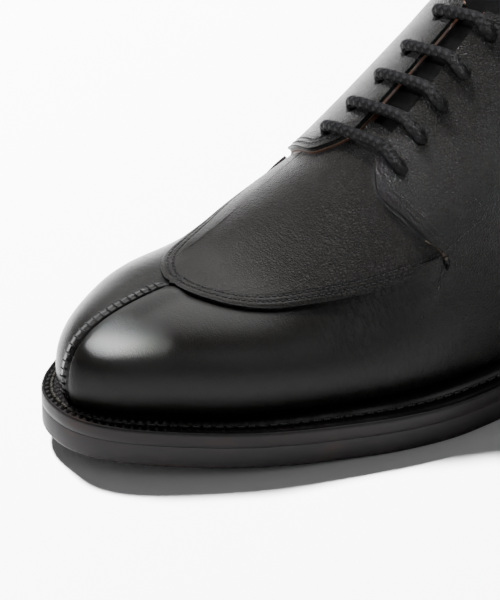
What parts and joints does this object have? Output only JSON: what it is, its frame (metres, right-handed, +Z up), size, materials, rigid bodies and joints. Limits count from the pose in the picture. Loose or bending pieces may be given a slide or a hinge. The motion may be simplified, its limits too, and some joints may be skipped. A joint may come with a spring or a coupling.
{
  "type": "derby shoe",
  "caption": "Left-foot leather derby shoe with a split toe, a lapped apron, open facings over a laced tongue, a stitched welt, a low heel and a rubber sole.",
  "frame": {"origin": "on the floor, under the middle of the outsole's length and width", "axes": "+Y along the foot from the toe to the heel, so that the toe points to -Y; +X to the outer side of the left foot; +Z up from the floor"},
  "size_m": [0.1092, 0.302, 0.1246],
  "materials": {
    "calf": "black grained calf with a polished toe",
    "tongue_leather": "soft black leather, matt",
    "sole_edge": "black edge ink, burnished to a satin",
    "rubber": "black moulded rubber, matt",
    "lining": "russet lining leather, smooth",
    "lacing": "round waxed cotton braid"
  },
  "bodies": {
    "root": {"outsole": "rubber", "midsole": "sole_edge", "welt": "sole_edge", "insole": "lining", "heel_stack": "sole_edge", "heel_top_piece": "rubber", "upper": "calf", "apron": "calf", "tongue": "tongue_leather", "lace_bar_1": "lacing", "lace_bar_2": "lacing", "lace_bar_3": "lacing", "lace_bar_4": "lacing", "lace_bar_5": "lacing"}
  },
  "joints": []
}
